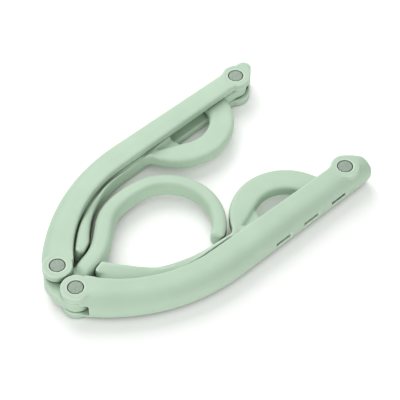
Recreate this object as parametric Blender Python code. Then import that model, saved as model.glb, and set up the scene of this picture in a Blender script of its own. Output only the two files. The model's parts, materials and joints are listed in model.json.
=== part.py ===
"""Folding travel hanger, laid flat with its arms folded up beside the hook.

Two channel-shaped arms turn on pins in a flat hub that is one moulding with the hook.
Each arm holds half of a split trouser bar in its channel, on a pin at its outer end.
Metres, +Z up, +Y from the hub towards the hook, lowest point at Z = 0.
"""

import math

import bmesh
import bpy
from mathutils import Matrix, Vector

# Pins and angles of the hinges
HUB_PIN_SPACING = 0.01176
PIN_SPACING = 0.112
RIGHT_FOLD_ANGLE = math.radians(6.7)
LEFT_FOLD_ANGLE = math.radians(18.7)
OPEN_ANGLE = math.radians(120)
RIGHT_BAR_SWING = math.radians(2.0)

# Heights of the stack: arm wall, hub plate or bar, arm wall
ARM_THICKNESS = 0.0122
PLATE_THICKNESS = 0.0048
RUNNING_GAP = 0.0003
SLIDING_GAP = 0.0004

# Arm, seen from above: each edge is an arc through its start and its bow, then a straight run
ARM_BOW_ALONG = 0.041
INNER_BOW_SHIFT = 0.0015
OUTER_START_OFFSET = 0.0068
OUTER_BOW_OFFSET = 0.021
OUTER_TIP_OFFSET = 0.0064
INNER_START_OFFSET = 0.0030
INNER_BOW_OFFSET = 0.0103
INNER_TIP_OFFSET = 0.0036
ARM_BACK_WALL = 0.0018
ARM_EDGE_ROUND = 0.0050
ARM_PAD_RADIUS = 0.0055
ARM_HEEL = 0.0013
ARM_END = 0.0104
ARM_TRIM = 0.0010
ARM_END_ROUND = 0.0020
ARM_SHOULDER_ROUND = 0.0025
TIP_TAPER = math.radians(30)
WRAP_ANGLE = math.radians(38)

# Moulding windows through the back wall of an arm
WINDOW_LENGTH = 0.0073
WINDOW_HEIGHT = 0.0018
WINDOW_PITCH = 0.0139
WINDOW_FROM_TIP = 0.0074
WINDOW_COUNT = 3

# Half of the trouser bar, in its arm's channel
BAR_START_OFFSET = 0.0039
BAR_BOW_SHIFT = 0.0030
BAR_BOW_OFFSET = 0.0086
BAR_TIP_OFFSET = 0.0038
BAR_SHOULDER = 0.0134
BAR_SHOULDER_ROUND = 0.0022
BAR_END = 0.0102
BAR_END_DROP = 0.0027
TAB_LENGTH = 0.024
TAB_FLAT = 0.008
TAB_HEIGHT = 0.0090
TAB_ROUND = 0.0011
TAB_ROUND_SHARE = 0.33
TAB_PROUD = 0.0003
LOOP_NEAR = 0.0620
LOOP_BULGE = 0.0143
LOOP_OUTER_RADIUS = 0.0215
LOOP_BAND = 0.0096
LOOP_LIMB_SLOPE = math.radians(36)
LOOP_WEB_SHARE = 0.77
LOOP_WEB_THICKNESS = 0.0022
LOOP_EDGE_ROUND = 0.0014
LOOP_FILLET = 0.0050

# Hub plate
HUB_LUG_RADIUS = 0.0053
HUB_CHIN = 0.0071
HUB_CHIN_HALF_WIDTH = 0.0070
HUB_EDGE_ROUND = 0.0008

# Hook, a rounded bar in one moulding with the hub plate, narrower towards its tip
HOOK_HEIGHT = 0.0072
HOOK_ROUND_SHARE = 0.3
STEM_WIDTH = 0.0071
HOOK_SIDE_WIDTH = 0.0060
HOOK_TIP_WIDTH = 0.0054
STEM_FOOT = 0.0042
STEM_RAMP = 0.0032
STEM_LEAN = math.radians(110)
STEM_LEAN_LENGTH = 0.0086
STEM_ANGLE = math.radians(138)
STEM_KNEE_ALONG = -0.0090
STEM_KNEE_UP = 0.0209
STEM_RUN = 0.0074
HOOK_CENTRE_ALONG = -0.0014
HOOK_CENTRE_UP = 0.0441
HOOK_RADIUS = 0.0191
HOOK_SWEEP_END = math.radians(36)
HOOK_FLARE = 0.0012
HOOK_TIP_ROUND = 0.0014

# Two-part pins: a headed shank from above and a cap from below
PIN_HEAD_RADIUS = 0.0029
PIN_HEAD_THICKNESS = 0.0012
PIN_SHANK_RADIUS = 0.0020
PIN_EDGE = 0.0002
PIN_RECESS = 0.0002
CAP_SPIGOT_RADIUS = 0.0009
CAP_SPIGOT_LENGTH = 0.0020

# Facets
ARC_STEP = math.radians(6)
BOW_STEP = math.radians(2.5)
PIN_SEGMENTS = 40
SECTION_STEP = math.radians(22.5)
BEND_STEPS = 6
ROUND_STEPS = 4
TAB_STATIONS = 14
SHARP_ANGLE = math.radians(35)
TIP_ANGLES = [math.radians(a) for a in (30, 60, 80)]
OVERRUN = 0.004

MINT = (0.56, 0.72, 0.58, 1.0)
GREY = (0.36, 0.44, 0.38, 1.0)

MID_HEIGHT = ARM_THICKNESS / 2
SLOT_LOW = MID_HEIGHT - PLATE_THICKNESS / 2 - RUNNING_GAP
SLOT_HIGH = MID_HEIGHT + PLATE_THICKNESS / 2 + RUNNING_GAP
PLATE_LOW = SLOT_LOW + RUNNING_GAP
PLATE_HIGH = SLOT_HIGH - RUNNING_GAP
BORE_RADIUS = PIN_SHANK_RADIUS + RUNNING_GAP
SINK_RADIUS = PIN_HEAD_RADIUS + RUNNING_GAP
SINK_DEPTH = PIN_HEAD_THICKNESS + RUNNING_GAP + PIN_RECESS
BAR_LUG_RADIUS = OUTER_TIP_OFFSET - ARM_BACK_WALL - SLIDING_GAP


class Edge:
    """One long edge of an arm or bar, seen from above with the hub pin at (0, 0).

    It is an arc through its start whose lowest point, the bow, is at (along, -offset), and from
    the arc a straight run that passes the tip pin at tip_offset, positive on the outer side.
    """

    def __init__(self, start, along, offset, tip_offset):
        rise = start[1] + offset
        radius = ((along - start[0]) ** 2 + rise**2) / (2 * rise)
        self.centre = Vector((along, radius - offset))
        self.radius = radius
        to_tip = Vector((PIN_SPACING, 0)) - self.centre
        turn = math.acos((radius - tip_offset) / to_tip.length)
        self.slope = math.atan2(to_tip.y, to_tip.x) - turn + math.pi / 2
        self.knee = self.centre.x + radius * math.sin(self.slope)

    def inset(self, depth):
        """The edge parallel to this one, depth nearer to the inner side."""
        other = Edge.__new__(Edge)
        other.centre, other.slope = self.centre, self.slope
        other.radius = self.radius - depth
        other.knee = other.centre.x + other.radius * math.sin(other.slope)
        return other

    def across(self, along):
        """The offset of the edge at this distance along the arm."""
        if along > self.knee:
            knee_across = self.centre.y - self.radius * math.cos(self.slope)
            return knee_across + (along - self.knee) * math.tan(self.slope)
        run = along - self.centre.x
        return self.centre.y - math.sqrt(self.radius**2 - run**2)

    def heading(self, along):
        """The direction of the edge at this distance along the arm."""
        return min(self.slope, math.asin(min(1, (along - self.centre.x) / self.radius)))

    def points(self, start, end):
        """Points from start to end along the arm, close together on the arc."""
        found = [Vector((start, self.across(start)))]
        if start >= self.knee:
            return found + [Vector((end, self.across(end)))]
        first = self.heading(start)
        last = self.heading(end)
        count = max(1, math.ceil((last - first) / BOW_STEP))
        for i in range(1, count + 1):
            angle = first + (last - first) * i / count
            found.append(self.centre + self.radius * Vector((math.sin(angle), -math.cos(angle))))
        if end > self.knee:
            found.append(Vector((end, self.across(end))))
        return found


OUTER_START = (-ARM_HEEL, -OUTER_START_OFFSET)
INNER_START = (ARM_PAD_RADIUS, INNER_START_OFFSET)
BAR_START = (BAR_SHOULDER, BAR_START_OFFSET)
OUTER_EDGE = Edge(OUTER_START, ARM_BOW_ALONG, OUTER_BOW_OFFSET, OUTER_TIP_OFFSET)
INNER_EDGE = Edge(INNER_START, ARM_BOW_ALONG - INNER_BOW_SHIFT, INNER_BOW_OFFSET, -INNER_TIP_OFFSET)
BAR_INNER_EDGE = Edge(BAR_START, ARM_BOW_ALONG + BAR_BOW_SHIFT, BAR_BOW_OFFSET, -BAR_TIP_OFFSET)
TIP_PIN = Vector((PIN_SPACING, 0))
LOOP_CENTRE = Vector((LOOP_NEAR + LOOP_OUTER_RADIUS, LOOP_BULGE - LOOP_OUTER_RADIUS))
LOOP_INNER_RADIUS = LOOP_OUTER_RADIUS - LOOP_BAND
WEB_END = LOOP_CENTRE.x - LOOP_WEB_SHARE * LOOP_INNER_RADIUS


def arc(centre, radius, start, end, step=ARC_STEP):
    """Points on an arc from one angle to another, both ends included."""
    count = max(1, math.ceil(abs(end - start) / step))
    angles = [start + (end - start) * i / count for i in range(count + 1)]
    return [Vector((centre[0] + radius * math.cos(a), centre[1] + radius * math.sin(a))) for a in angles]


def circle(centre, radius, segments=PIN_SEGMENTS):
    """Points round a circle."""
    return arc(centre, radius, 0, math.tau * (segments - 1) / segments, math.tau / segments)


def fillet(before, corner, after, radius):
    """The points that round one corner of an outline."""
    back = (before - corner).normalized()
    on = (after - corner).normalized()
    half = back.angle(on) / 2
    reach = radius / math.tan(half)
    centre = corner + (back + on).normalized() * radius / math.sin(half)
    start = corner + back * reach - centre
    end = corner + on * reach - centre
    turn = start.angle_signed(end)
    first = math.atan2(start.y, start.x)
    return arc(centre, radius, first, first - turn)


def material(name, colour, roughness):
    """A plain plastic."""
    made = bpy.data.materials.new(name)
    made.use_nodes = True
    shader = made.node_tree.nodes["Principled BSDF"]
    shader.inputs["Base Color"].default_value = colour
    shader.inputs["Roughness"].default_value = roughness
    return made


def add_object(name, mesh, parent=None):
    """Put a mesh in the scene as a named object."""
    made = bpy.data.objects.new(name, mesh)
    bpy.context.scene.collection.objects.link(made)
    made.parent = parent
    return made


def add_empty(name, location, turn=0.0, parent=None):
    """An empty that stands on a hinge's axis."""
    made = bpy.data.objects.new(name, None)
    made.location = location
    made.rotation_euler.z = turn
    made.parent = parent
    bpy.context.scene.collection.objects.link(made)
    return made


def prism(name, outline, low, high, parent=None, side=1):
    """An upright solid with this outline. A side of -1 mirrors it across the arm's line."""
    points = [Vector((p[0], p[1] * side)) for p in outline]
    area = sum(a.x * b.y - b.x * a.y for a, b in zip(points, points[1:] + points[:1]))
    if area < 0:
        points.reverse()
    mesh = bpy.data.meshes.new(name)
    bm = bmesh.new()
    face = bm.faces.new([bm.verts.new((p.x, p.y, low)) for p in points])
    raised = bmesh.ops.extrude_face_region(bm, geom=[face])["geom"]
    moved = [v for v in raised if isinstance(v, bmesh.types.BMVert)]
    bmesh.ops.translate(bm, verts=moved, vec=(0, 0, high - low))
    bmesh.ops.recalc_face_normals(bm, faces=bm.faces)
    bm.to_mesh(mesh)
    bm.free()
    return add_object(name, mesh, parent)


def stack(name, levels, parent=None, side=1):
    """A closed solid through outlines with equally many points, each (outline, height), lowest first."""
    mesh = bpy.data.meshes.new(name)
    bm = bmesh.new()
    rings = [[bm.verts.new((p.x, p.y * side, z)) for p in outline] for outline, z in levels]
    for a, b in zip(rings, rings[1:]):
        for i, p in enumerate(a):
            bm.faces.new((p, b[i], b[i - 1], a[i - 1]))
    bm.faces.new(rings[0])
    bm.faces.new(rings[-1][::-1])
    bmesh.ops.recalc_face_normals(bm, faces=bm.faces)
    bm.to_mesh(mesh)
    bm.free()
    return add_object(name, mesh, parent)


def round_edges(made, width, chosen):
    """Bevel the level edges of a prism for which chosen(middle) is true, in the same steps as the loop."""
    mesh = made.data
    weights = mesh.attributes.new("bevel_weight_edge", "FLOAT", "EDGE")
    for edge in mesh.edges:
        a, b = (mesh.vertices[i].co for i in edge.vertices)
        level = a.z == b.z
        weights.data[edge.index].value = float(level and chosen((a + b) / 2))
    bevel = made.modifiers.new("rounded edges", "BEVEL")
    bevel.limit_method = "WEIGHT"
    bevel.width = width
    bevel.segments = ROUND_STEPS
    bevel.use_clamp_overlap = False


def rounded(width, height, rounding):
    """A rounded rectangle as (across, up) points, anticlockwise."""
    wide = width / 2 - rounding
    tall = height / 2 - rounding
    points = []
    for quarter, corner in enumerate(((wide, tall), (-wide, tall), (-wide, -tall), (wide, -tall))):
        start = quarter * math.pi / 2
        points += arc(corner, rounding, start, start + math.pi / 2, SECTION_STEP)
    return points


def loft(name, stations, parent=None):
    """A solid through rounded sections, each (place, heading, width, height, rounding)."""
    mesh = bpy.data.meshes.new(name)
    bm = bmesh.new()
    rings = []
    for place, heading, width, height, rounding in stations:
        right = Vector((math.sin(heading), -math.cos(heading)))
        ring = []
        for across, up in rounded(width, height, rounding):
            at = place + right * across
            ring.append(bm.verts.new((at.x, at.y, MID_HEIGHT + up)))
        rings.append(ring)
    for a, b in zip(rings, rings[1:]):
        for i, p in enumerate(a):
            bm.faces.new((p, b[i], b[i - 1], a[i - 1]))
    bm.faces.new(rings[0])
    bm.faces.new(rings[-1][::-1])
    bmesh.ops.recalc_face_normals(bm, faces=bm.faces)
    bm.to_mesh(mesh)
    bm.free()
    return add_object(name, mesh, parent)


def combine(made, tool, operation):
    """Join, cut or keep the common part of an object with a helper, which is then hidden."""
    boolean = made.modifiers.new(tool.name, "BOOLEAN")
    boolean.operation = operation
    boolean.object = tool
    tool.hide_render = True
    tool.display_type = "WIRE"


def finish(made, surface):
    """Give a piece its material and smooth shading with crisp edges."""
    made.data.materials.append(surface)
    made.data.shade_smooth()
    made.data.set_sharp_from_angle(angle=SHARP_ANGLE)


def arm_outline():
    """The arm seen from above: heel at the hub, long edges, squared-off tip and pad."""
    end = PIN_SPACING + ARM_END + ARM_TRIM
    heel = Vector((-ARM_HEEL, 0))
    outer = OUTER_EDGE.inset(-ARM_TRIM).points(-ARM_HEEL, end)
    touch = math.pi / 2 - TIP_TAPER
    pad = arc(TIP_PIN, ARM_PAD_RADIUS, touch, math.pi / 2)
    shoulder = Vector((end, pad[0].y - (end - pad[0].x) * math.tan(TIP_TAPER)))
    nose = fillet(outer[-1], shoulder, pad[0], ARM_SHOULDER_ROUND)
    inner = INNER_EDGE.points(ARM_PAD_RADIUS, PIN_SPACING)
    return [heel] + outer + nose + pad + inner[::-1]


def back_sweep(name, parent, side):
    """A broad rounded bar along the arm's outer edge. The arm keeps only what lies inside it."""
    width = OUTER_BOW_OFFSET + ARM_PAD_RADIUS
    last = PIN_SPACING + ARM_END - ARM_END_ROUND
    route = [(point, 0) for point in OUTER_EDGE.points(-ARM_HEEL - OVERRUN, last)]
    for angle in TIP_ANGLES:
        along = last + ARM_END_ROUND * math.sin(angle)
        route.append((Vector((along, OUTER_EDGE.across(along))), angle))
    stations = []
    for point, angle in route:
        heading = OUTER_EDGE.heading(point.x)
        shrink = 2 * ARM_END_ROUND * (1 - math.cos(angle))
        middle = point + width / 2 * Vector((-math.sin(heading), math.cos(heading)))
        place = Vector((middle.x, middle.y * side))
        wide, tall = width - shrink, ARM_THICKNESS - shrink
        stations.append((place, heading * side, wide, tall, ARM_EDGE_ROUND - shrink / 2))
    return loft(name, stations, parent)


def channel_outline():
    """The slot between the arm's two walls, open on the inner side and round the hub plate."""
    back = OUTER_EDGE.inset(ARM_BACK_WALL)
    wrap_radius = BAR_LUG_RADIUS + SLIDING_GAP
    wrap_start = OUTER_EDGE.slope - math.pi / 2
    wrap = arc(TIP_PIN, wrap_radius, wrap_start, WRAP_ANGLE)
    way_out = ARM_THICKNESS + OUTER_BOW_OFFSET
    past_hub = -ARM_PAD_RADIUS - OVERRUN
    points = [Vector((past_hub, -way_out)), Vector((-ARM_HEEL, -way_out))]
    points += back.points(-ARM_HEEL, wrap[0].x)[:-1] + wrap
    points += [Vector((wrap[-1].x, way_out)), Vector((past_hub, way_out))]
    return points


def hub_outline(grow=0.0):
    """The hub plate: a round lug on each pin and a bulging chin between them."""
    half = HUB_PIN_SPACING / 2
    radius = HUB_LUG_RADIUS + grow
    chin = HUB_CHIN + grow
    width = HUB_CHIN_HALF_WIDTH + grow
    cheek = -math.sqrt(radius**2 - (width - half) ** 2)
    chin_radius = (width**2 + (chin + cheek) ** 2) / (2 * (chin + cheek))
    spread = math.asin(width / chin_radius)
    chin_centre = (0, chin_radius - chin)
    first = math.atan2(cheek, width - half)
    right = arc((half, 0), radius, first, math.pi / 2)
    left = arc((-half, 0), radius, math.pi / 2, math.pi - first)
    low = arc(chin_centre, chin_radius, -math.pi / 2 - spread, -math.pi / 2 + spread)
    return low[:-1] + right + left[:-1]


def open_hub_outline():
    """The hub plate's outline, with clearance, as the open arm sees it."""
    half = HUB_PIN_SPACING / 2
    turn = Matrix.Rotation(OPEN_ANGLE - math.pi / 2, 2)
    return [turn @ (p - Vector((half, 0))) for p in hub_outline(SLIDING_GAP)]


def bore(name, centre, parent):
    """A pin's hole: through the arm, with a sink for the head above and the cap below."""
    hole = prism(name, circle(centre, BORE_RADIUS), -OVERRUN, ARM_THICKNESS + OVERRUN, parent)
    low = prism(name + " low sink", circle(centre, SINK_RADIUS), -OVERRUN, SINK_DEPTH, parent)
    top = ARM_THICKNESS + OVERRUN
    high = prism(name + " high sink", circle(centre, SINK_RADIUS), ARM_THICKNESS - SINK_DEPTH, top, parent)
    combine(hole, low, "UNION")
    combine(hole, high, "UNION")
    return hole


def window(name, number, parent, side):
    """One moulding window, at mid height through the back wall."""
    along = PIN_SPACING - WINDOW_FROM_TIP - number * WINDOW_PITCH
    run = Vector((math.cos(OUTER_EDGE.slope), math.sin(OUTER_EDGE.slope)))
    through = Vector((run.y, -run.x))
    middle = Vector((along, OUTER_EDGE.across(along))) - through * ARM_BACK_WALL / 2
    reach = through * (ARM_BACK_WALL + OVERRUN) / 2
    half = run * WINDOW_LENGTH / 2
    corners = [middle - half - reach, middle + half - reach, middle + half + reach, middle - half + reach]
    low = MID_HEIGHT - WINDOW_HEIGHT / 2
    return prism(name, corners, low, low + WINDOW_HEIGHT, parent, side)


def build_arm(label, hinge, side, surface):
    """One arm, a channel with a closed back, its pads, pin holes and windows."""
    arm = prism(label + "_arm", arm_outline(), -OVERRUN, ARM_THICKNESS + OVERRUN, hinge, side)
    combine(arm, back_sweep(label + " back", hinge, side), "INTERSECT")
    for name, centre in ((" hub pad", Vector((0, 0))), (" tip pad", TIP_PIN)):
        combine(arm, prism(label + name, circle(centre, ARM_PAD_RADIUS), 0, ARM_THICKNESS, hinge), "UNION")
    channel = prism(label + " channel", channel_outline(), SLOT_LOW, SLOT_HIGH, hinge, side)
    combine(arm, channel, "DIFFERENCE")
    clear = prism(label + " hub clearance", open_hub_outline(), SLOT_LOW, SLOT_HIGH, hinge, side)
    combine(arm, clear, "DIFFERENCE")
    for name, centre in ((" hub bore", Vector((0, 0))), (" tip bore", TIP_PIN)):
        combine(arm, bore(label + name, centre, hinge), "DIFFERENCE")
    for number in range(WINDOW_COUNT):
        combine(arm, window(f"{label} window {number}", number, hinge, side), "DIFFERENCE")
    finish(arm, surface)


def limb():
    """The straight side of the loop's opening: where it leaves the circle and where it ends."""
    angle = math.pi / 2 + LOOP_LIMB_SLOPE
    top = LOOP_CENTRE + LOOP_INNER_RADIUS * Vector((math.cos(angle), math.sin(angle)))
    drop = top.y - BAR_INNER_EDGE.across(top.x)
    run = drop / (math.tan(LOOP_LIMB_SLOPE) - math.tan(BAR_INNER_EDGE.slope))
    return top, Vector((top.x - run, top.y - run * math.tan(LOOP_LIMB_SLOPE)))


def bar_outline():
    """The half bar: tongue, fillet, loop and neck, with the loop's opening still filled."""
    shoulder = Vector((BAR_SHOULDER, BAR_INNER_EDGE.across(BAR_SHOULDER)))
    corner = Vector((BAR_END, shoulder.y - BAR_END_DROP))
    run = Vector((math.cos(BAR_INNER_EDGE.slope), math.sin(BAR_INNER_EDGE.slope)))
    normal = Vector((-run.y, run.x))
    on_edge = Vector((LOOP_CENTRE.x, BAR_INNER_EDGE.across(LOOP_CENTRE.x)))
    depth = (on_edge - LOOP_CENTRE).dot(normal)
    reach = math.sqrt((LOOP_OUTER_RADIUS + LOOP_FILLET) ** 2 - (LOOP_FILLET + depth) ** 2)
    touch = LOOP_CENTRE + normal * depth - run * reach
    centre = touch + normal * LOOP_FILLET
    to_loop = LOOP_CENTRE - centre
    start = math.atan2(-normal.y, -normal.x)
    turn = -normal.angle_signed(to_loop) - math.pi
    bend_in = arc(centre, LOOP_FILLET, start, start + turn % math.tau)
    first = math.atan2(-to_loop.y, -to_loop.x)
    last = BAR_INNER_EDGE.slope + math.asin(depth / LOOP_OUTER_RADIUS)
    loop = arc(LOOP_CENTRE, LOOP_OUTER_RADIUS, first, last)
    edge = BAR_INNER_EDGE.points(BAR_SHOULDER, touch.x)
    rounded_end = fillet(corner, shoulder, edge[1], BAR_SHOULDER_ROUND)
    edge = [p for p in edge if p.x > rounded_end[-1].x + ARM_TRIM]
    inner = [corner] + rounded_end + edge[:-1] + bend_in + loop[1:]
    low = OUTER_EDGE.inset(ARM_BACK_WALL + SLIDING_GAP).points(BAR_END, PIN_SPACING)
    return inner + [TIP_PIN + Vector((0, BAR_LUG_RADIUS))] + low[::-1]


def opening_outline(grow):
    """The loop's opening, wider by grow: round, with one straight limb, and open to the back."""
    far = math.pi / 2 + LOOP_LIMB_SLOPE
    rim = arc(LOOP_CENTRE, LOOP_INNER_RADIUS + grow, 0, far)
    foot = limb()[1]
    lip = Vector((WEB_END, INNER_EDGE.across(WEB_END)))
    along = (lip - foot).normalized()
    meeting = LOOP_LIMB_SLOPE - math.atan2(along.y, along.x)
    foot = foot - along * grow / math.sin(meeting)
    below = -OUTER_BOW_OFFSET - OVERRUN
    return [Vector((rim[0].x, below))] + rim + [foot, lip, Vector((lip.x, below))]


def opening(name, parent, side):
    """The cutter of the loop's opening, flared so that it leaves rounded edges."""
    size = LOOP_EDGE_ROUND
    levels = [(opening_outline(size), -OVERRUN)]
    for i in range(ROUND_STEPS + 1):
        angle = math.pi / 2 * i / ROUND_STEPS
        height = PLATE_LOW + size - size * math.cos(angle)
        levels.append((opening_outline(size - size * math.sin(angle)), height))
    levels += [(outline, ARM_THICKNESS - z) for outline, z in levels[::-1]]
    return stack(name, levels, parent, side)


def web_outline():
    """The thin web that fills the corner between the loop's limb and the tongue."""
    top, foot = limb()
    run = (top - foot).normalized()
    into = LOOP_EDGE_ROUND * Vector((-run.y, run.x))
    end = foot + run * (WEB_END - foot.x) / run.x
    lip = Vector((WEB_END, INNER_EDGE.across(WEB_END)))
    under = Vector((0, LOOP_EDGE_ROUND))
    return [foot - under, foot + into, end + into, end, lip - under]


def hook_room():
    """The hook's outline with clearance. Both bars are cut back to it."""
    path = hook_path()
    sides = ([], [])
    for point, heading, width in path:
        reach = (width / 2 + SLIDING_GAP) * Vector((math.sin(heading), -math.cos(heading)))
        sides[0].append(point + reach)
        sides[1].append(point - reach)
    return sides[0] + sides[1][::-1]


def tab(name, parent, side):
    """The thumb tab at the free end: it thickens outside the arm's lips to nearly full height."""
    first = BAR_END - TAB_PROUD
    last = BAR_END + TAB_LENGTH
    end_across = BAR_INNER_EDGE.across(BAR_SHOULDER) - BAR_END_DROP
    stations = []
    for i in range(TAB_STATIONS + 1):
        along = first + (last - first) * i / TAB_STATIONS
        ramp = min(1, (last - along) / (TAB_LENGTH - TAB_FLAT))
        rise = ramp * ramp * (3 - 2 * ramp)
        height = PLATE_THICKNESS + (TAB_HEIGHT - PLATE_THICKNESS) * rise - TAB_PROUD
        proud = TAB_PROUD * (2 * rise - 1)
        near = INNER_EDGE.across(along) + SLIDING_GAP / math.cos(INNER_EDGE.heading(along))
        if along < BAR_SHOULDER:
            far = end_across + BAR_END_DROP * (along - first) / (BAR_SHOULDER - first) + proud
        else:
            far = BAR_INNER_EDGE.across(along) + proud
        rounding = min(TAB_ROUND, (far - near) * TAB_ROUND_SHARE)
        place = Vector((along, (near + far) / 2 * side))
        stations.append((place, 0, far - near, height, rounding))
    return loft(name, stations, parent)


def build_bar(label, tip, side, surface):
    """Half of the trouser bar: tongue with thumb tab, D-shaped loop and pivot lug.

    It is drawn in the arm's frame and then hung on the tip hinge, its own axis.
    """
    frame = add_empty(label + " bar drawing", (-PIN_SPACING, 0, 0), 0, tip)
    bar = prism(label + "_bar", bar_outline(), PLATE_LOW, PLATE_HIGH, frame, side)

    def on_inner_side(middle):
        in_reach = BAR_SHOULDER < middle.x < PIN_SPACING - BAR_LUG_RADIUS
        return in_reach and middle.y * side > INNER_EDGE.across(middle.x)

    round_edges(bar, LOOP_EDGE_ROUND, on_inner_side)
    combine(bar, opening(label + " opening", frame, side), "DIFFERENCE")
    low = MID_HEIGHT - LOOP_WEB_THICKNESS / 2
    web = prism(label + " web", web_outline(), low, low + LOOP_WEB_THICKNESS, frame, side)
    combine(bar, web, "UNION")
    lug = prism(label + " lug", circle(TIP_PIN, BAR_LUG_RADIUS), PLATE_LOW, PLATE_HIGH, frame)
    combine(bar, lug, "UNION")
    hole = prism(label + " bar bore", circle(TIP_PIN, BORE_RADIUS), -OVERRUN, ARM_THICKNESS, frame)
    combine(bar, hole, "DIFFERENCE")
    combine(bar, tab(label + " tab", frame, side), "UNION")
    bar.data.transform(Matrix.Translation((-PIN_SPACING, 0, 0)))
    bar.parent = tip
    finish(bar, surface)
    return bar


def bend(start, start_heading, end, end_heading, steps):
    """Points and headings on a smooth curve from one place and heading to another."""
    reach = (end - start).length / 3
    a, d = start, end
    b = a + reach * Vector((math.cos(start_heading), math.sin(start_heading)))
    c = d - reach * Vector((math.cos(end_heading), math.sin(end_heading)))
    found = []
    for i in range(1, steps + 1):
        t = i / steps
        s = 1 - t
        point = s**3 * a + 3 * s * s * t * b + 3 * s * t * t * c + t**3 * d
        slope = s * s * (b - a) + 2 * s * t * (c - b) + t * t * (d - c)
        found.append((point, math.atan2(slope.y, slope.x)))
    return found


def hook_path():
    """The hook's centre line as (point, heading, width): stem, bend, ring and flaring tip."""
    foot = Vector((0, STEM_FOOT))
    lean = STEM_LEAN_LENGTH * Vector((math.cos(STEM_LEAN), math.sin(STEM_LEAN)))
    knee = Vector((STEM_KNEE_ALONG, STEM_KNEE_UP))
    run = STEM_RUN * Vector((math.cos(STEM_ANGLE), math.sin(STEM_ANGLE)))
    centre = Vector((HOOK_CENTRE_ALONG, HOOK_CENTRE_UP))
    side = centre - Vector((HOOK_RADIUS, 0))
    ramp = lean.normalized() * STEM_RAMP
    path = [(foot, math.pi / 2), (foot + ramp, math.pi / 2), (foot + lean, STEM_LEAN)]
    path += bend(foot + lean, STEM_LEAN, knee, STEM_ANGLE, BEND_STEPS)
    path.append((knee + run, STEM_ANGLE))
    stem_count = len(path)
    path += bend(knee + run, STEM_ANGLE, side, math.pi / 2, BEND_STEPS)
    side_count = len(path)
    sweep = math.pi - HOOK_SWEEP_END
    count = math.ceil(sweep / ARC_STEP)
    for i in range(1, count + 1):
        angle = math.pi - sweep * i / count
        radius = HOOK_RADIUS + HOOK_FLARE * max(0, 1 - angle / (math.pi / 2)) ** 2
        point = centre + radius * Vector((math.cos(angle), math.sin(angle)))
        path.append((point, angle - math.pi / 2))
    found = []
    for i, (point, heading) in enumerate(path):
        if i < stem_count:
            width = STEM_WIDTH
        elif i < side_count:
            share = (i + 1 - stem_count) / (side_count - stem_count)
            width = STEM_WIDTH + (HOOK_SIDE_WIDTH - STEM_WIDTH) * share
        else:
            share = (i + 1 - side_count) / (len(path) - side_count)
            width = HOOK_SIDE_WIDTH + (HOOK_TIP_WIDTH - HOOK_SIDE_WIDTH) * share
        found.append((point, heading, width))
    return found


def hook_solid(name, frame):
    """The hook's bar, swept along its centre line, with a rounded tip."""
    path = hook_path()
    stations = [(p, heading, w, HOOK_HEIGHT, HOOK_ROUND_SHARE * w) for p, heading, w in path]
    foot, heading, width = path[0]
    low = PLATE_THICKNESS - HUB_EDGE_ROUND
    stations[0] = (foot, heading, width, low, HOOK_ROUND_SHARE * low)
    end, heading, width = path[-1]
    forward = Vector((math.cos(heading), math.sin(heading)))
    for angle in TIP_ANGLES:
        shrink = 2 * HOOK_TIP_ROUND * (1 - math.cos(angle))
        wide, tall = width - shrink, HOOK_HEIGHT - shrink
        place = end + forward * HOOK_TIP_ROUND * math.sin(angle)
        stations.append((place, heading, wide, tall, HOOK_ROUND_SHARE * wide))
    return loft(name, stations, frame)


def build_hook_hub(frame, surface):
    """Hook and hub plate, one moulding with the holes of the two hub pins."""
    hub = prism("hook_hub", hub_outline(), PLATE_LOW, PLATE_HIGH, frame)
    round_edges(hub, HUB_EDGE_ROUND, lambda middle: middle.y < 0)
    hook = hook_solid("hook bar", frame)
    half = HUB_PIN_SPACING / 2
    for x in (-half, half):
        clear = ARM_PAD_RADIUS + SLIDING_GAP
        for low, high in ((-OVERRUN, PLATE_LOW), (PLATE_HIGH, ARM_THICKNESS)):
            room = prism("pad room", circle((x, 0), clear), low, high, frame)
            combine(hook, room, "DIFFERENCE")
    combine(hub, hook, "UNION")
    for x in (-half, half):
        hole = prism("hub bore", circle((x, 0), BORE_RADIUS), -OVERRUN, ARM_THICKNESS, frame)
        combine(hub, hole, "DIFFERENCE")
    finish(hub, surface)


def turned(name, profile, parent):
    """A round piece turned from (radius, height) points, top first."""
    mesh = bpy.data.meshes.new(name)
    bm = bmesh.new()
    points = [bm.verts.new((radius, 0, height)) for radius, height in profile]
    edges = [bm.edges.new(pair) for pair in zip(points, points[1:])]
    axis = {"cent": (0, 0, 0), "axis": (0, 0, 1)}
    bmesh.ops.spin(bm, geom=points + edges, angle=math.tau, steps=PIN_SEGMENTS, use_merge=True, **axis)
    bmesh.ops.remove_doubles(bm, verts=bm.verts, dist=PIN_EDGE / PIN_SEGMENTS)
    bmesh.ops.recalc_face_normals(bm, faces=bm.faces)
    bm.to_mesh(mesh)
    bm.free()
    return add_object(name, mesh, parent)


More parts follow.
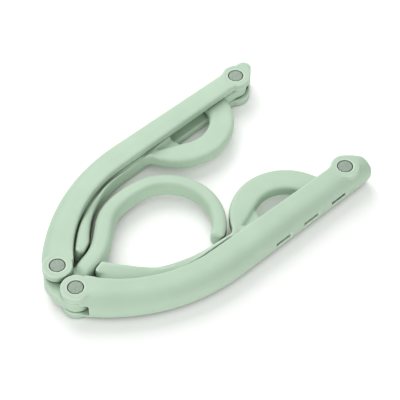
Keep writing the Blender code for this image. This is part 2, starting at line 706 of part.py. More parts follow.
def build_pin(label, place, surface):
    """A two-part pin: headed shank from above, cap with a spigot from below."""
    top = ARM_THICKNESS - PIN_RECESS
    under_head = top - PIN_HEAD_THICKNESS
    cap_low = PIN_RECESS
    cap_top = cap_low + PIN_HEAD_THICKNESS
    shank_low = cap_top + RUNNING_GAP
    socket = CAP_SPIGOT_RADIUS + RUNNING_GAP
    socket_top = cap_top + CAP_SPIGOT_LENGTH + RUNNING_GAP
    pin_profile = [
        (0, top),
        (PIN_HEAD_RADIUS - PIN_EDGE, top),
        (PIN_HEAD_RADIUS, top - PIN_EDGE),
        (PIN_HEAD_RADIUS, under_head),
        (PIN_SHANK_RADIUS, under_head),
        (PIN_SHANK_RADIUS, shank_low),
        (socket, shank_low),
        (socket, socket_top),
        (0, socket_top),
    ]
    cap_profile = [
        (0, cap_top + CAP_SPIGOT_LENGTH),
        (CAP_SPIGOT_RADIUS, cap_top + CAP_SPIGOT_LENGTH),
        (CAP_SPIGOT_RADIUS, cap_top),
        (PIN_HEAD_RADIUS, cap_top),
        (PIN_HEAD_RADIUS, cap_low + PIN_EDGE),
        (PIN_HEAD_RADIUS - PIN_EDGE, cap_low),
        (0, cap_low),
    ]
    for name, profile in (("_pin", pin_profile), ("_pin_cap", cap_profile)):
        finish(turned(label + name, profile, place), surface)


def centre_in_plan(frame):
    """Move the frame so that the origin is under the middle of the pieces' bounding box."""
    bpy.context.view_layer.update()
    graph = bpy.context.evaluated_depsgraph_get()
    corners = []
    for made in bpy.context.scene.objects:
        if made.type == "MESH" and not made.hide_render:
            solid = made.evaluated_get(graph)
            corners += [solid.matrix_world @ v.co for v in solid.data.vertices]
    for axis in (0, 1):
        values = [corner[axis] for corner in corners]
        frame.location[axis] = -(min(values) + max(values)) / 2


def build():
    """The whole hanger, with the frame's origin under the middle of its bounding box."""
    for old in list(bpy.data.objects):
        bpy.data.objects.remove(old)
    mint = material("mint plastic", MINT, 0.45)
    grey = material("grey plastic", GREY, 0.5)
    frame = add_empty("hanger frame", (0, 0, 0))
    build_hook_hub(frame, mint)
    half = HUB_PIN_SPACING / 2
    for label, side, fold in (("left", -1, LEFT_FOLD_ANGLE), ("right", 1, RIGHT_FOLD_ANGLE)):
        turn = math.pi / 2 - side * fold
        hinge = add_empty(label + " arm hinge", (side * half, 0, 0), turn, frame)
        build_arm(label, hinge, side, mint)
        swing = RIGHT_BAR_SWING if side > 0 else 0
        tip = add_empty(label + " bar hinge", (PIN_SPACING, 0, 0), -swing, hinge)
        bar = build_bar(label, tip, side, mint)
        room = prism(label + " hook room", hook_room(), -OVERRUN, ARM_THICKNESS, frame)
        combine(bar, room, "DIFFERENCE")
        build_pin(label + "_hub", hinge, grey)
        build_pin(label + "_tip", tip, grey)
    centre_in_plan(frame)


build()
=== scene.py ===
# %% [markdown]
# # A folding travel hanger in matte mint plastic
# The object is a small folding hanger that lies flat on a white table with both arms folded up
# beside the hook. The imported model is the skeleton: it knows where each piece sits and how it
# moves. This file dresses that skeleton. It loads it first and measures the boxes of its parts.

# %% Load the skeleton and measure it
import json
import math

import bpy
import numpy as np
from mathutils import Matrix, Vector

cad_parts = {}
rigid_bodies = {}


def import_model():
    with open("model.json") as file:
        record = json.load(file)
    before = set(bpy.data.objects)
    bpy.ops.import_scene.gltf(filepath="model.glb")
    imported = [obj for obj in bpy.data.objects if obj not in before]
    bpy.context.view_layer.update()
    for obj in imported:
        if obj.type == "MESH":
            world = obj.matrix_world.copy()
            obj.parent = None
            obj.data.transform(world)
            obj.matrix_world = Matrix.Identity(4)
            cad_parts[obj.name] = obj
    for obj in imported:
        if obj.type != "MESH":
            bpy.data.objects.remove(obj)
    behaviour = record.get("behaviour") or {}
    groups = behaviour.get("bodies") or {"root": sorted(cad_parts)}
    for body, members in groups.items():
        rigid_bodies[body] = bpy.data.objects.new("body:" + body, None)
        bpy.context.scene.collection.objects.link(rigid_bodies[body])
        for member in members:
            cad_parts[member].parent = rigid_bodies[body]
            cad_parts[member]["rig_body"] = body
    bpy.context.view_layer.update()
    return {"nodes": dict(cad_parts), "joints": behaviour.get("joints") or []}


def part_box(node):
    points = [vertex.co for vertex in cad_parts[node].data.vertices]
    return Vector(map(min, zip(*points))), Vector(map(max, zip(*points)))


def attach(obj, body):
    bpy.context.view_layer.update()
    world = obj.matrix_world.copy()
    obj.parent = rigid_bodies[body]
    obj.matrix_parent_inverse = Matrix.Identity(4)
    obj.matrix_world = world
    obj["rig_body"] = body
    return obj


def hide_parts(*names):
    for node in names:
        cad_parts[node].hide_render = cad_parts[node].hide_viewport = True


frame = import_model()
MM = 0.001
print("nodes:", sorted(frame["nodes"]))

# %% [markdown]
# ## The camera
# The photograph looks down on the hanger from one corner, from rather far away, so parallel edges
# stay almost parallel. A long lens does that: 141 mm on a 36 mm sensor, 572 mm from the middle of
# the hanger. The camera is turned with `to_track_quat`, which points its -Z axis at the target and
# keeps its Y axis upright.

# %% Camera at the photograph's angle
TARGET = Vector((8.65 * MM, 1.21 * MM, 12.2 * MM))
CAMERA_AT = Vector((296.8 * MM, -209.64 * MM, 459.2 * MM))
LENS = 141.0
SENSOR = 36.0
NEAREST = 10 * MM


def add_camera():
    """The scene's camera, looking at the middle of the hanger."""
    lens = bpy.data.cameras.new("camera")
    lens.lens = LENS
    lens.sensor_width = SENSOR
    lens.clip_start = NEAREST
    camera = bpy.data.objects.new("camera", lens)
    camera.location = CAMERA_AT
    camera.rotation_euler = (TARGET - CAMERA_AT).to_track_quat("-Z", "Y").to_euler()
    bpy.context.scene.collection.objects.link(camera)
    bpy.context.scene.camera = camera
    return camera


camera = add_camera()
print("camera is", round((TARGET - camera.location).length / MM), "mm from its target")

# %% [markdown]
# ## Working along the arms
# Both arms have the same shape, but they are folded to different angles, so a place on an arm is
# easiest to give along its own line: how far from the hub pin, how far to the outer side, and how
# high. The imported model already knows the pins, because every joint has its place in the record.

# %% The pins and the lines of the arms
SIDES = ("left", "right")
PIN_AT = {joint["name"]: Vector(joint["pos_m"]) for joint in frame["joints"]}
PIN_SPACING = (PIN_AT["left_bar_hinge"] - PIN_AT["left_arm_hinge"]).length
ARM_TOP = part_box("left_arm")[1].z
MID_HEIGHT = ARM_TOP / 2


def arm_line(side):
    """Hub pin, direction along the arm and direction to its outer side, seen from above."""
    hub = PIN_AT[side + "_arm_hinge"]
    along = (PIN_AT[side + "_bar_hinge"] - hub).normalized()
    outward = along.cross(Vector((0, 0, 1)))
    if side == "left":
        outward.negate()
    return hub, along, outward


def on_line(points, side):
    """Each point as (along, outward, up) on an arm's line."""
    hub, along, outward = arm_line(side)
    offset = points - np.array(hub)
    return np.stack([offset @ np.array(along), offset @ np.array(outward), points[:, 2]], axis=1)


print("arm thickness", round(ARM_TOP / MM, 2), "mm, pin spacing", round(PIN_SPACING / MM, 2), "mm")

# %% [markdown]
# ## Softening the mouldings
# A real moulding has no sharp edge anywhere: the steel of the mould is rounded, and the plastic
# shrinks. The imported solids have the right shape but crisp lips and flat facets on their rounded
# backs. Bevelling every edge by hand would break where a pad runs into the rounded back at a
# shallow angle. So a copy of each solid is merged and remeshed into an even skin of small faces,
# and the skin is smoothed a few times, which rounds every edge by about the same radius, as a
# mould does.


# %% Helpers for editing
def edit(piece):
    """Select only this piece and open it in edit mode."""
    bpy.ops.object.select_all(action="DESELECT")
    piece.select_set(True)
    bpy.context.view_layer.objects.active = piece
    bpy.context.tool_settings.mesh_select_mode = (True, False, False)
    bpy.ops.object.mode_set(mode="EDIT")


def done():
    """Back to object mode."""
    bpy.ops.object.mode_set(mode="OBJECT")


def apply_modifiers(piece):
    """Apply every modifier of a piece, in order."""
    bpy.ops.object.select_all(action="DESELECT")
    piece.select_set(True)
    bpy.context.view_layer.objects.active = piece
    for name in [modifier.name for modifier in piece.modifiers]:
        bpy.ops.object.modifier_apply(modifier=name)


# %% Reading, choosing and moving vertices
def places(piece):
    """All vertices of a piece as an array."""
    found = np.empty(len(piece.data.vertices) * 3)
    piece.data.vertices.foreach_get("co", found)
    return found.reshape(-1, 3)


def set_places(piece, points):
    """Move all vertices of a piece to these points."""
    piece.data.vertices.foreach_set("co", points.ravel())
    piece.data.update()


def choose(piece, chosen):
    """Select exactly the vertices for which chosen is true."""
    piece.data.polygons.foreach_set("select", np.zeros(len(piece.data.polygons), bool))
    piece.data.edges.foreach_set("select", np.zeros(len(piece.data.edges), bool))
    piece.data.vertices.foreach_set("select", chosen)


# %% An even skin
SKIN_SIZE = 0.32 * MM
MERGE = 0.002 * MM


def moulding(node, name):
    """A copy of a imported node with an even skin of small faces."""
    piece = bpy.data.objects.new(name, node.data.copy())
    bpy.context.scene.collection.objects.link(piece)
    edit(piece)
    bpy.ops.mesh.select_all(action="SELECT")
    bpy.ops.mesh.remove_doubles(threshold=MERGE)
    done()
    bpy.ops.mesh.customdata_custom_splitnormals_clear()
    skin = piece.modifiers.new("even skin", "REMESH")
    skin.mode = "VOXEL"
    skin.voxel_size = SKIN_SIZE
    apply_modifiers(piece)
    bpy.ops.object.shade_smooth()
    print(name, "has", len(piece.data.polygons), "faces")
    return piece


# %% A brush, and two ways to finish its work
BRUSH_STRENGTH = 0.5
MELT = 0.1 * MM


def smooth(piece, chosen, passes):
    """Smooth the chosen vertices this many times, as a brush would."""
    choose(piece, chosen)
    edit(piece)
    bpy.ops.mesh.vertices_smooth(factor=BRUSH_STRENGTH, repeat=passes)
    done()


def melt(piece):
    """Merge vertices that came to lie almost on each other, which would glint like dust."""
    edit(piece)
    bpy.ops.mesh.select_all(action="SELECT")
    bpy.ops.mesh.remove_doubles(threshold=MELT)
    bpy.ops.mesh.normals_make_consistent(inside=False)
    done()


def crisp(piece, chosen, node):
    """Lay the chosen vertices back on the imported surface, so that its edges stay straight."""
    group = piece.vertex_groups.new(name="crisp")
    group.add([int(i) for i in np.flatnonzero(chosen)], 1.0, "REPLACE")
    lay = piece.modifiers.new("crisp", "SHRINKWRAP")
    lay.target = node
    lay.vertex_group = group.name
    apply_modifiers(piece)
    piece.vertex_groups.clear()


# %% Taking a node's place
def stand_for(piece, node_name):
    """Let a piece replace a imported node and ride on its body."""
    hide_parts(node_name)
    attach(piece, frame["nodes"][node_name]["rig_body"])


# %% [markdown]
# ## The arms
# An arm is a channel with a broad rounded back. Its whole skin is smoothed a little, apart from the
# sunk pin holes and the moulding windows. Those are cut by sharp steel inserts, so their points are
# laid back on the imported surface, and only the rims of the pin holes are drawn in a little. The
# back still shows the long flat strips of the sweep it was made from, so it is selected, by its
# place on the arm's line, and smoothed many times. The lips along the channel get a softer edge in
# the same way. Under the tip the lower pad stands out of the rounded back, where the real one is
# blended in, so those points are pulled onto the back's own radius.

# %% Where things are on an arm
BACK_RADIUS = 5.0 * MM
BACK_REACH = 6.2 * MM
BACK_WALL = 1.0 * MM
SLOT_HALF = 3.0 * MM
WINDOW_HALF = 1.5 * MM
WINDOW_START = 70.0 * MM
SINK_ROOM = 4.2 * MM
PAD_ROOM = 6.4 * MM
HEEL_ROOM = 8.0 * MM
NOT_FOUND = -1.0
BIN_MIDDLE = 0.5


def edge_along(local, chosen, sign):
    """The outermost (1) or innermost (-1) of the chosen points for each millimetre along the arm."""
    step = np.clip((local[:, 0] / MM).astype(int), 0, None)
    found = np.full(step.max() + 1, NOT_FOUND)
    np.maximum.at(found, step[chosen], sign * local[chosen, 1])
    known = np.flatnonzero(found > NOT_FOUND)
    return (known + BIN_MIDDLE) * MM, sign * found[known]


def outer_edge(local):
    """The arm's outer edge beside each point."""
    return np.interp(local[:, 0], *edge_along(local, np.ones(len(local), bool), 1))


def from_pins(local):
    """How far each point is from the nearer pin of the arm, seen from above."""
    from_hub = np.hypot(local[:, 0], local[:, 1])
    from_tip = np.hypot(local[:, 0] - PIN_SPACING, local[:, 1])
    return np.minimum(from_hub, from_tip)


# %% Blending the lower pad and narrowing the pin holes
RIM_SHRINK = 0.22 * MM


def blend_lower_pad(piece, side):
    """Pull the lower tip pad onto the rounded back, where it would stand out of it."""
    points = places(piece)
    local = on_line(points, side)
    outward = arm_line(side)[2]
    sideways = local[:, 1] - (outer_edge(local) - BACK_RADIUS)
    down = BACK_RADIUS - local[:, 2]
    reach = np.hypot(sideways, down)
    near_tip = local[:, 0] > PIN_SPACING - PAD_ROOM
    standing = near_tip & (sideways > 0) & (down > 0) & (reach > BACK_RADIUS)
    excess = np.where(standing, 1 - BACK_RADIUS / np.maximum(reach, BACK_RADIUS), 0)
    points -= np.outer(sideways * excess, np.array(outward))
    points[:, 2] += down * excess
    set_places(piece, points)
    return int(standing.sum())


def narrow_sinks(piece, side):
    """Draw the rims of the sunk pin holes in a little, because moulded rims shrink inward."""
    points = places(piece)
    for joint in ("_arm_hinge", "_bar_hinge"):
        at = np.array(PIN_AT[side + joint])[:2]
        offset = points[:, :2] - at
        reach = np.maximum(np.hypot(offset[:, 0], offset[:, 1]), MERGE)
        outer = np.clip((SINK_ROOM - reach) / MM, 0, 1)
        inner = np.clip((reach - SINK_ROOM / 2) / MM, 0, 1)
        points[:, :2] -= offset * (RIM_SHRINK * outer * inner / reach)[:, None]
    set_places(piece, points)


# %% Smoothing an arm
EDGE_PASSES = 4
CUT_PASSES = 1
LIP_PASSES = 14
BACK_PASSES = 40


def smooth_arm(piece, side, node):
    """Soften an arm's edges, then even out its rounded back."""
    local = on_line(places(piece), side)
    depth = outer_edge(local) - local[:, 1]
    rise = np.abs(local[:, 2] - MID_HEIGHT)
    reach = from_pins(local)
    window = (rise < WINDOW_HALF) & (depth < BACK_REACH / 2) & (local[:, 0] > WINDOW_START)
    cut = window | (reach <= SINK_ROOM)
    smooth(piece, ~cut, EDGE_PASSES)
    crisp(piece, cut, node)
    narrow_sinks(piece, side)
    smooth(piece, cut, CUT_PASSES)
    outside = (rise > SLOT_HALF) | (depth < BACK_WALL)
    clear = (local[:, 0] > HEEL_ROOM) & (reach > PAD_ROOM) & (rise > WINDOW_HALF)
    smooth(piece, outside & clear & (depth < BACK_REACH), BACK_PASSES)
    smooth(piece, (rise > SLOT_HALF) & clear & (depth >= BACK_REACH), LIP_PASSES)
    smooth(piece, ~cut, EDGE_PASSES)
    melt(piece)


# %% Both arms
for side in SIDES:
    node = frame["nodes"][side + "_arm"]
    arm = moulding(node, side + "_arm_moulding")
    print("points of the lower pad blended in:", blend_lower_pad(arm, side))
    smooth_arm(arm, side, node)
    stand_for(arm, side + "_arm")

# %% [markdown]
# ## The halves of the trouser bar
# The bars have rounded rims already, so their skin is only evened out. The thumb tab needs more: on
# the real bar its top slopes down towards the arm and runs into the bar beside the arm's lip, so
# that a thumb slides along it and pushes the bar out of its channel. A point's share says how far
# it is across the tab, from its free side to the lip. Where the bar stands out of its channel the
# slope falls further, and fills the gap beside the lip. Between the tab and the loop the bar is a
# little thicker beside the lip than inside the channel, so it shows as a pale strip.

# %% Where the tab and the lip are
TAB_START = 10.0 * MM
TAB_END = 38.0 * MM
TAB_BLEND = 3.0 * MM
PLATE_HALF = 2.3 * MM
LIP_GAP = 0.4 * MM
WIDE_GAP = 3.5 * MM
STEEPEST = 0.95
SLOPE_POWER = 1.6
FREE_SHARE = 0.3
BAR_PASSES = 10
TAB_PASSES = 14
GAP_SHARES = (10, 50, 90)


def lip_beside(local, side):
    """Where the arm's lip is beside each point, less the gap that the bar keeps from it."""
    arm_local = on_line(places(bpy.data.objects[side + "_arm_moulding"]), side)
    lips = edge_along(arm_local, arm_local[:, 2] > ARM_TOP - MM, -1)
    return np.interp(local[:, 0], *lips) - LIP_GAP


# %% Sloping the thumb tab
def slope_tab(piece, side):
    """Slope the thumb tab's top and underside down to the arm's lip."""
    points = places(piece)
    local = on_line(points, side)
    rise = np.abs(local[:, 2] - MID_HEIGHT)
    thick = (local[:, 0] < TAB_END) & (rise > PLATE_HALF + 2 * LIP_GAP)
    near = np.interp(local[:, 0], *edge_along(local, thick, 1))
    far = np.interp(local[:, 0], *edge_along(local, thick, -1))
    lip = lip_beside(local, side)
    share = (local[:, 1] - far) / np.maximum(lip - far, MM)
    tab = (local[:, 0] < TAB_END) & (rise > PLATE_HALF) & (share > 0) & (share < 1)
    raised = np.column_stack([local[:, 0], rise, rise])
    top = np.interp(local[:, 0], *edge_along(raised, thick, 1))
    steep = np.clip((lip - near) / WIDE_GAP, 0, 1) * STEEPEST
    slope = PLATE_HALF + (top - PLATE_HALF) * (1 - steep * np.clip(share, 0, 1) ** SLOPE_POWER)
    inside = np.clip(np.minimum(local[:, 0] - TAB_START, TAB_END - local[:, 0]) / TAB_BLEND, 0, 1)
    inside *= np.clip((lip - near) / MM - 1, 0, 1)
    lifted = np.maximum(rise, rise + inside * (slope - rise))
    wanted = np.where(share > FREE_SHARE, lifted, rise)
    wanted = np.minimum(wanted, np.maximum(slope, PLATE_HALF))
    moved = np.where(tab, wanted - rise, 0)
    points[:, 2] += np.sign(local[:, 2] - MID_HEIGHT) * moved
    set_places(piece, points)
    smooth(piece, tab, TAB_PASSES)
    melt(piece)
    gaps = np.percentile((lip - near)[tab] / MM, GAP_SHARES)
    print(side, "tab: gap beside the lip in mm", np.round(gaps, 1))


# %% Raising the strip between tab and loop
STRIP = (30.0 * MM, 38.0 * MM, 50.0 * MM, 58.0 * MM, 64.0 * MM)
STRIP_SHARE = (0.0, 0.6, 1.0, 1.0, 0.0)
STRIP_RISE = 2.0 * MM
STRIP_EDGE = 0.8 * MM
STRIP_HALF = 2.0 * MM


def raise_strip(piece, side):
    """Thicken the bar between tab and loop, only where it stands out beside the lip."""
    points = places(piece)
    local = on_line(points, side)
    between = np.interp(local[:, 0], STRIP, STRIP_SHARE)
    outside = np.clip((lip_beside(local, side) - local[:, 1]) / STRIP_EDGE, 0, 1)
    share = np.clip((local[:, 2] - MID_HEIGHT) / STRIP_HALF, -1, 1)
    lift = STRIP_RISE * between * outside * share
    points[:, 2] += lift
    set_places(piece, points)
    smooth(piece, np.abs(lift) > 0, EDGE_PASSES)


# %% Both halves of the bar
for side in SIDES:
    bar = moulding(frame["nodes"][side + "_bar"], side + "_bar_moulding")
    smooth(bar, np.ones(len(bar.data.vertices), bool), BAR_PASSES)
    slope_tab(bar, side)
    raise_strip(bar, side)
    stand_for(bar, side + "_bar")

# %% [markdown]
# ## The hook
# The hook is rounded all over, because a hand and a rail slide along it, so its whole skin is
# smoothed and no edge is kept. After that all five mouldings are measured: how much the skin bends
# outward at each vertex is averaged over its neighbours and stored, so that the plastic can be
# painted pale on its outward edges only, partly as wear and partly as a painted highlight.

# %% Hook
HOOK_PASSES = 8
hook = moulding(frame["nodes"]["hook_hub"], "hook_moulding")
smooth(hook, np.ones(len(hook.data.vertices), bool), HOOK_PASSES)
stand_for(hook, "hook_hub")


# %% Measuring outward edges, for wear and a painted highlight
BEND_PASSES = 5
BEND_SHARES = (5, 50, 95, 99)


def neighbour_mean(values, ends, links_at):
    """The mean of a value over each vertex's neighbours."""
    total = np.bincount(ends[:, 0], values[ends[:, 1]], len(values))
    total += np.bincount(ends[:, 1], values[ends[:, 0]], len(values))
    return total / links_at


def store_edge_bend(piece):
    """Store how far the skin bends outward at each vertex, in millimetres per skin face."""
    mesh = piece.data
    points = places(piece)
    normals = np.empty(points.size)
    mesh.vertices.foreach_get("normal", normals)
    ends = np.empty(len(mesh.edges) * 2, int)
    mesh.edges.foreach_get("vertices", ends)
    ends = ends.reshape(-1, 2)
    links_at = np.maximum(np.bincount(ends.ravel(), minlength=len(points)), 1)
    around = np.stack([neighbour_mean(points[:, axis], ends, links_at) for axis in range(3)], axis=1)
    bend = ((points - around) * normals.reshape(-1, 3)).sum(axis=1) / MM
    for _ in range(BEND_PASSES):
        bend = (bend + neighbour_mean(bend, ends, links_at)) / 2
    # Stored for the paler edges, which are partly wear and partly a painted highlight.
    mesh.attributes.new("wear_and_highlight", "FLOAT", "POINT").data.foreach_set("value", bend)
    return np.percentile(bend, BEND_SHARES)


for piece in [made for made in bpy.data.objects if made.name.endswith("_moulding")]:
    print(piece.name, "bends outward by", np.round(store_edge_bend(piece), 4))

# %% [markdown]
# ## The pins
# Each hinge has a two-part pin: a wide flat head with a shank that goes down through all three
# layers, and a cap pressed in from below. Both are turned shapes, so both start as a cylinder. The
# head's underside is inset to the shank's width and pulled down, the socket is inset and pushed
# back up, and the rim of the head is bevelled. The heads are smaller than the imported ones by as
# much as the rims of the pin holes were drawn in. One pin and one cap are modelled at the origin,
# and each hinge gets copies with their own mesh.

# %% Sizes of a pin
HEAD_RADIUS = (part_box("left_hub_pin")[1].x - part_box("left_hub_pin")[0].x) / 2 - RIM_SHRINK
HEAD_THICKNESS = 1.2 * MM
HEAD_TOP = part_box("left_hub_pin")[1].z
HEAD_UNDER = HEAD_TOP - HEAD_THICKNESS
SHANK_RADIUS = 2.0 * MM
SHANK_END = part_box("left_hub_pin")[0].z
CAP_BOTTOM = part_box("left_hub_pin_cap")[0].z
CAP_INSIDE = CAP_BOTTOM + HEAD_THICKNESS
SPIGOT_RADIUS = 0.9 * MM
SPIGOT_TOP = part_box("left_hub_pin_cap")[1].z
SOCKET_GAP = 0.3 * MM
SOCKET_RADIUS = SPIGOT_RADIUS + SOCKET_GAP
SOCKET_TOP = SPIGOT_TOP + SOCKET_GAP
print("pin head radius", round(HEAD_RADIUS / MM, 2), "mm")
print("pin from", round(SHANK_END / MM, 2), "to", round(HEAD_TOP / MM, 2), "mm above the floor")

# %% Tools for turned shapes
ROUND_SIDES = 64
UP = 1
DOWN = -1
LEVEL = 0.99


def disc(name, low, high):
    """A round blank between two heights."""
    bpy.ops.object.select_all(action="DESELECT")
    size = {"radius": HEAD_RADIUS, "depth": high - low, "location": (0, 0, (low + high) / 2)}
    bpy.ops.mesh.primitive_cylinder_add(vertices=ROUND_SIDES, **size)
    blank = bpy.context.object
    blank.name = name
    bpy.ops.object.transform_apply(location=True, rotation=True, scale=True)
    return blank


def choose_cap(blank, height, way):
    """Select the flat round face at this height that looks up or down."""
    for face in blank.data.polygons:
        level = face.normal.z * way > LEVEL
        face.select = level and abs(face.center.z - height) < MERGE
    for edge in blank.data.edges:
        edge.select = False
    for vertex in blank.data.vertices:
        vertex.select = False
    bpy.context.tool_settings.mesh_select_mode = (False, False, True)


def step_in(blank, height, way, inset, pull):
    """Inset the face at a height and pull the new face along Z."""
    choose_cap(blank, height, way)
    bpy.ops.object.mode_set(mode="EDIT")
    bpy.ops.mesh.select_mode(type="FACE")
    bpy.ops.mesh.inset(thickness=inset, depth=0)
    bpy.ops.mesh.extrude_region_move(TRANSFORM_OT_translate={"value": (0, 0, pull)})
    done()


# %% Rounding the rim of a head
RIM = 0.22 * MM
RIM_SEGMENTS = 4
SHARP_EDGE = math.radians(35)


def round_rim(blank, height):
    """Bevel the outer rim at a height, and shade everything but the sharp edges smooth."""
    bpy.context.tool_settings.mesh_select_mode = (False, True, False)
    for face in blank.data.polygons:
        face.select = False
    points = blank.data.vertices
    for edge in blank.data.edges:
        ends = [points[i].co for i in edge.vertices]
        level = all(abs(end.z - height) < MERGE for end in ends)
        edge.select = level and all(end.xy.length > HEAD_RADIUS - RIM / 2 for end in ends)
    bpy.ops.object.mode_set(mode="EDIT")
    bpy.ops.mesh.select_mode(type="EDGE")
    bpy.ops.mesh.bevel(offset=RIM, segments=RIM_SEGMENTS, affect="EDGES")
    done()
    bpy.ops.object.shade_smooth_by_angle(angle=SHARP_EDGE)


# %% One pin and one cap
pin = disc("pin", HEAD_UNDER, HEAD_TOP)
step_in(pin, HEAD_UNDER, DOWN, HEAD_RADIUS - SHANK_RADIUS, SHANK_END - HEAD_UNDER)
step_in(pin, SHANK_END, DOWN, SHANK_RADIUS - SOCKET_RADIUS, SOCKET_TOP - SHANK_END)
round_rim(pin, HEAD_TOP)
cap = disc("cap", CAP_BOTTOM, CAP_INSIDE)
step_in(cap, CAP_INSIDE, UP, HEAD_RADIUS - SPIGOT_RADIUS, SPIGOT_TOP - CAP_INSIDE)
round_rim(cap, CAP_BOTTOM)
print("pin has", len(pin.data.polygons), "faces and the cap", len(cap.data.polygons))


# %% Copies at the four hinges
def place_copy(model, name, at, node_name):
    """A copy of a pin or cap, with its own mesh, at a hinge."""
    piece = bpy.data.objects.new(name, model.data.copy())
    bpy.context.scene.collection.objects.link(piece)
    piece.data.transform(Matrix.Translation((at.x, at.y, 0)))
    stand_for(piece, node_name)


for side in SIDES:
    for place, joint in (("hub", "_arm_hinge"), ("tip", "_bar_hinge")):
        label = side + "_" + place
        place_copy(pin, label + "_rivet", PIN_AT[side + joint], label + "_pin")
        place_copy(cap, label + "_rivet_cap", PIN_AT[side + joint], label + "_pin_cap")
for model in (pin, cap):
    bpy.data.objects.remove(model)
print("pins at", list(PIN_AT))

# %% [markdown]
# ## The plastics
# Arms, bars and hook are one moulded plastic: pale mint green with a satin surface. Seen close, it
# has a fine even grain from the etched mould, a very slight mottling where the melt cooled
# unevenly, and outward edges that are painted a touch paler, partly as wear where hands have
# rubbed them and partly as a painted highlight. A noise texture at two scales makes the first two:
# a broad one shifts the colour a little, and a fine one drives roughness and a shallow bump. The
# paler edges read the bend that was measured above. The hollows are painted dark, a painted shade
# that comes from ambient occlusion, which asks how much open air a point can see. The
# coordinates are Object coordinates, so the grain stays on the piece when it turns on its pin. The
# pins are made the same way in a greyer green, with a smaller and stronger mottling.

# %% Helpers for node materials
NOISE_ROUGHNESS = 0.55


def opaque(colour):
    """A colour that lets nothing through."""
    return (*colour, 1.0)


def new_material(name):
    """A node material with its Principled shader and output, and nothing else."""
    made = bpy.data.materials.new(name)
    made.use_nodes = True
    nodes = made.node_tree.nodes
    return made, nodes, made.node_tree.links, nodes["Principled BSDF"]


def noise(nodes, links, scale, detail):
    """A noise texture on Object coordinates, scale in cells per metre."""
    place = nodes.new("ShaderNodeTexCoord")
    texture = nodes.new("ShaderNodeTexNoise")
    texture.inputs["Scale"].default_value = scale
    texture.inputs["Detail"].default_value = detail
    texture.inputs["Roughness"].default_value = NOISE_ROUGHNESS
    links.new(place.outputs["Object"], texture.inputs["Vector"])
    return texture.outputs["Fac"]


def ramp(nodes, links, source, stops):
    """A colour ramp on a value, between two stops of (position, colour)."""
    made = nodes.new("ShaderNodeValToRGB")
    for element, (position, colour) in zip(made.color_ramp.elements, stops):
        element.position = position
        element.color = opaque(colour)
    links.new(source, made.inputs["Fac"])
    return made.outputs["Color"]


# %% Helpers that turn one value into another
AIR_SAMPLES = 8


def spread(nodes, links, source, low, high, start=0.0, end=1.0):
    """Map a value from start..end to low..high."""
    made = nodes.new("ShaderNodeMapRange")
    made.inputs["From Min"].default_value = start
    made.inputs["From Max"].default_value = end
    made.inputs["To Min"].default_value = low
    made.inputs["To Max"].default_value = high
    links.new(source, made.inputs["Value"])
    return made.outputs["Result"]


def mixed(nodes, links, amount, first, second):
    """Blend from a painted colour to a plain one by an amount."""
    made = nodes.new("ShaderNodeMix")
    made.data_type = "RGBA"
    links.new(amount, made.inputs["Factor"])
    links.new(first, made.inputs["A"])
    made.inputs["B"].default_value = opaque(second)
    return made.outputs["Result"]


def open_air(nodes, reach):
    """How much open air a point can see within this reach, from 0 to 1."""
    made = nodes.new("ShaderNodeAmbientOcclusion")
    made.samples = AIR_SAMPLES
    made.inputs["Distance"].default_value = reach
    return made.outputs["AO"]


# %% A moulded plastic
MOTTLE_START = 0.32
MOTTLE_END = 0.68
MOTTLE_DETAIL = 4.0
# Paler outward edges: partly wear, partly a painted highlight.
EDGE_PALING_MOST = 0.8
EDGE_PALING_BEND = (0.008, 0.024)
# Painted shade: hollows that see little open air within this reach are painted dark.
HOLLOW_REACH = 5 * MM
HOLLOW_AIR = (0.15, 0.56)
GRAIN_DETAIL = 2.0
GRAIN_HEIGHT = 0.05 * MM
PLASTIC_GLOSS = 0.4


def plastic(name, dark, pale, worn_edge_and_highlight, painted_shade_colour, rough, mottle_scale, grain, grain_scale):
    """Moulded plastic: mottled colour, paler edges (wear and a painted highlight), painted shade in
    hollows, fine grain.
    """
    made, nodes, links, shader = new_material(name)
    mottle = noise(nodes, links, mottle_scale, MOTTLE_DETAIL)
    colour = ramp(nodes, links, mottle, [(MOTTLE_START, dark), (MOTTLE_END, pale)])
    # Outward edges are painted paler: partly wear, partly a painted highlight.
    wear_and_highlight = nodes.new("ShaderNodeAttribute")
    wear_and_highlight.attribute_name = "wear_and_highlight"
    wear_and_highlight_amount = spread(nodes, links, wear_and_highlight.outputs["Fac"], 0.0, EDGE_PALING_MOST, *EDGE_PALING_BEND)
    paler = mixed(nodes, links, wear_and_highlight_amount, colour, worn_edge_and_highlight)
    # Painted shade: where a point sees little open air, its colour is painted dark.
    painted_shade = spread(nodes, links, open_air(nodes, HOLLOW_REACH), 1.0, 0.0, *HOLLOW_AIR)
    finish = mixed(nodes, links, painted_shade, paler, painted_shade_colour)
    links.new(finish, shader.inputs["Base Color"])
    fine = noise(nodes, links, grain_scale, GRAIN_DETAIL)
    links.new(spread(nodes, links, fine, *rough), shader.inputs["Roughness"])
    bump = nodes.new("ShaderNodeBump")
    bump.inputs["Strength"].default_value = grain
    bump.inputs["Distance"].default_value = GRAIN_HEIGHT
    links.new(fine, bump.inputs["Height"])
    links.new(bump.outputs["Normal"], shader.inputs["Normal"])
    shader.inputs["Specular IOR Level"].default_value = PLASTIC_GLOSS
    return made


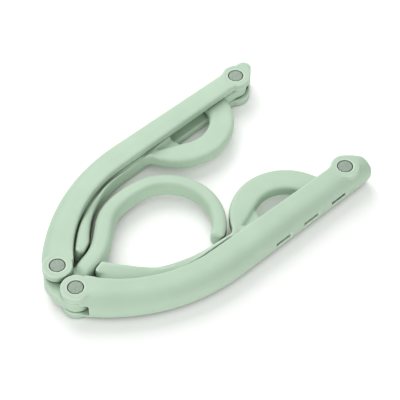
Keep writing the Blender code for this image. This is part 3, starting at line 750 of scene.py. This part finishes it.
# %% Mint and grey finishes
MINT = {
    "dark": (0.46, 0.615, 0.465),
    "pale": (0.50, 0.655, 0.505),
    # paler colour of the outward edges: wear and a painted highlight
    "worn_edge_and_highlight": (0.68, 0.81, 0.68),
    # colour of the painted shade in hollows
    "painted_shade_colour": (0.05, 0.085, 0.045),
    "rough": (0.42, 0.58),
    "mottle_scale": 70.0,
    "grain": 0.25,
    "grain_scale": 1800.0,
}
GREY = {
    "dark": (0.25, 0.325, 0.26),
    "pale": (0.34, 0.425, 0.35),
    # paler colour of the outward edges: wear and a painted highlight
    "worn_edge_and_highlight": (0.40, 0.48, 0.41),
    # colour of the painted shade in hollows
    "painted_shade_colour": (0.10, 0.13, 0.10),
    "rough": (0.40, 0.60),
    "mottle_scale": 1300.0,
    "grain": 0.5,
    "grain_scale": 1500.0,
}
mint = plastic("mint plastic", **MINT)
grey = plastic("grey pin plastic", **GREY)
print("finishes:", mint.name, "and", grey.name)

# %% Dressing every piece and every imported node
for piece in [made for made in bpy.data.objects if made.type == "MESH"]:
    surface = grey if "pin" in piece.name or "rivet" in piece.name else mint
    if piece.data.materials:
        piece.data.materials[0] = surface
    else:
        piece.data.materials.append(surface)
    print(piece.name, "is", surface.name)

# %% [markdown]
# ## Floor and light
# The photograph was taken on a white sweep, bright enough to burn out to pure white, with only a
# breath of shadow beside the hanger. A very pale floor that glows a little does that. Close to the
# hanger, where the floor sees less open air, the glow stops and its white turns to a warm grey. The
# light is a large soft panel at the upper left of the picture, a second one on the other side
# that reaches the sides facing the camera, and an even pale sky.

# %% Floor
FLOOR_SIZE = 6.0
FLOOR_WHITE = (0.93, 0.93, 0.925)
FLOOR_SHADE = (0.52, 0.50, 0.47)
FLOOR_GLOW = (1.0, 1.0, 0.995)
GLOW_MOST = 0.20
GLOW_AIR = (0.0, 0.5)
SHADE_REACH = 12 * MM
SHADE_AIR = (0.0, 0.4)
FLOOR_ROUGHNESS = 0.9
FLOOR_GLOSS = 0.1


def add_floor():
    """A wide pale floor under the hanger, with a painted shadow close to it."""
    bpy.ops.object.select_all(action="DESELECT")
    bpy.ops.mesh.primitive_plane_add(size=FLOOR_SIZE, location=(0, 0, 0))
    floor = bpy.context.object
    floor.name = "floor"
    made, nodes, links, shader = new_material("white sweep")
    shader.inputs["Roughness"].default_value = FLOOR_ROUGHNESS
    shader.inputs["Specular IOR Level"].default_value = FLOOR_GLOSS
    shader.inputs["Emission Color"].default_value = opaque(FLOOR_GLOW)
    # Painted shadow: close to the hanger, where the floor sees less open air, the glow stops and the
    # white turns warm grey.
    air = open_air(nodes, SHADE_REACH)
    glow = spread(nodes, links, air, 0.0, GLOW_MOST, *GLOW_AIR)
    links.new(glow, shader.inputs["Emission Strength"])
    shade = spread(nodes, links, air, 0.0, 1.0, *SHADE_AIR)
    tint = ramp(nodes, links, shade, [(0.0, FLOOR_SHADE), (1.0, FLOOR_WHITE)])
    links.new(tint, shader.inputs["Base Color"])
    floor.data.materials.append(made)
    return floor


floor = add_floor()
print("floor at height", floor.location.z)

# %% Soft panels and sky
KEY = {"place": (-0.42, 0.10, 0.50), "size": 0.55, "power": 3.2}
FILL = {"place": (0.50, -0.42, 0.42), "size": 0.80, "power": 2.5}
SKY_COLOUR = (1.0, 1.0, 1.0)
SKY_STRENGTH = 0.42


def add_panel(name, place, size, power):
    """A square soft light that faces the hanger."""
    light = bpy.data.lights.new(name, "AREA")
    light.shape = "SQUARE"
    light.size = size
    light.energy = power
    panel = bpy.data.objects.new(name, light)
    panel.location = place
    panel.rotation_euler = (TARGET - Vector(place)).to_track_quat("-Z", "Y").to_euler()
    bpy.context.scene.collection.objects.link(panel)
    return panel


def add_sky():
    """An even pale sky."""
    world = bpy.data.worlds.new("studio")
    world.use_nodes = True
    sky = world.node_tree.nodes["Background"]
    sky.inputs["Color"].default_value = opaque(SKY_COLOUR)
    sky.inputs["Strength"].default_value = SKY_STRENGTH
    bpy.context.scene.world = world


key_panel = add_panel("key panel", **KEY)
fill_panel = add_panel("fill panel", **FILL)
add_sky()
bpy.context.scene.view_settings.view_transform = "Standard"
print("lights:", key_panel.name, "and", fill_panel.name)
